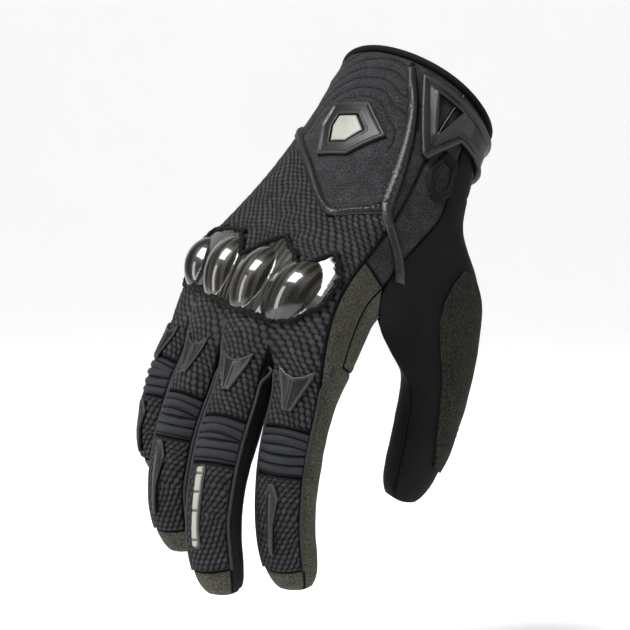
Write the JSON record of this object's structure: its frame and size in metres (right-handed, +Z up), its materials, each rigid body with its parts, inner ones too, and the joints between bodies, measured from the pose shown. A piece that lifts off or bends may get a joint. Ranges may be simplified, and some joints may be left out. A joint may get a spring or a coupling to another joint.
{
  "type": "motocross glove",
  "caption": "Right-hand motocross glove filled out as worn: knit back, neoprene wrist, rubber strap, carbon-look knuckle guard, suede palm and thumb.",
  "frame": {"origin": "centre of the wrist opening, where the forearm comes out of the glove", "axes": "+Z up with the fingers hanging down, the back of the hand faces -Y and upwards, the thumb is towards +X"},
  "size_m": [0.1029, 0.1364, 0.1881],
  "materials": {
    "knit": "coarse dull knit",
    "neoprene": "soft speckled neoprene",
    "twill": "close twill",
    "suede": "brushed suede",
    "palm_suede": "brushed suede",
    "rib_cloth": "padded stretch cloth",
    "rubber": "satin moulded rubber",
    "carbon": "clear-coated carbon weave",
    "light_rubber": "satin moulded rubber"
  },
  "bodies": {
    "root": {"hand_back": "knit", "wrist_panel": "neoprene", "side_panel": "twill", "index_side": "knit", "palm": "palm_suede", "cuff_palm": "palm_suede", "thumb_back": "suede", "thumb_front": "suede", "fourchette_pinky_ring": "twill", "fourchette_ring_middle": "twill", "fourchette_middle_index": "twill", "pinky_side": "twill", "cuff_binding": "twill", "knuckle_guard": "carbon", "trim_main": "rubber", "trim_branch": "rubber", "strap": "rubber", "vent_binding": "rubber", "badge": "rubber", "badge_inlay": "light_rubber", "finger_bar": "light_rubber", "thumb_patch": "suede", "knuckle_ribs_pinky": "rib_cloth", "finger_back_pinky": "knit", "finger_front_pinky": "palm_suede", "chevron_pinky": "rubber", "spike_pinky": "rubber", "knuckle_ribs_ring": "rib_cloth", "finger_back_ring": "knit", "finger_front_ring": "palm_suede", "chevron_ring": "rubber", "spike_ring": "rubber", "knuckle_ribs_middle": "rib_cloth", "finger_back_middle": "knit", "finger_front_middle": "palm_suede", "chevron_middle": "rubber", "knuckle_ribs_index": "rib_cloth", "finger_back_index": "knit", "finger_front_index": "palm_suede", "chevron_index": "rubber", "spike_index": "rubber"}
  },
  "joints": []
}
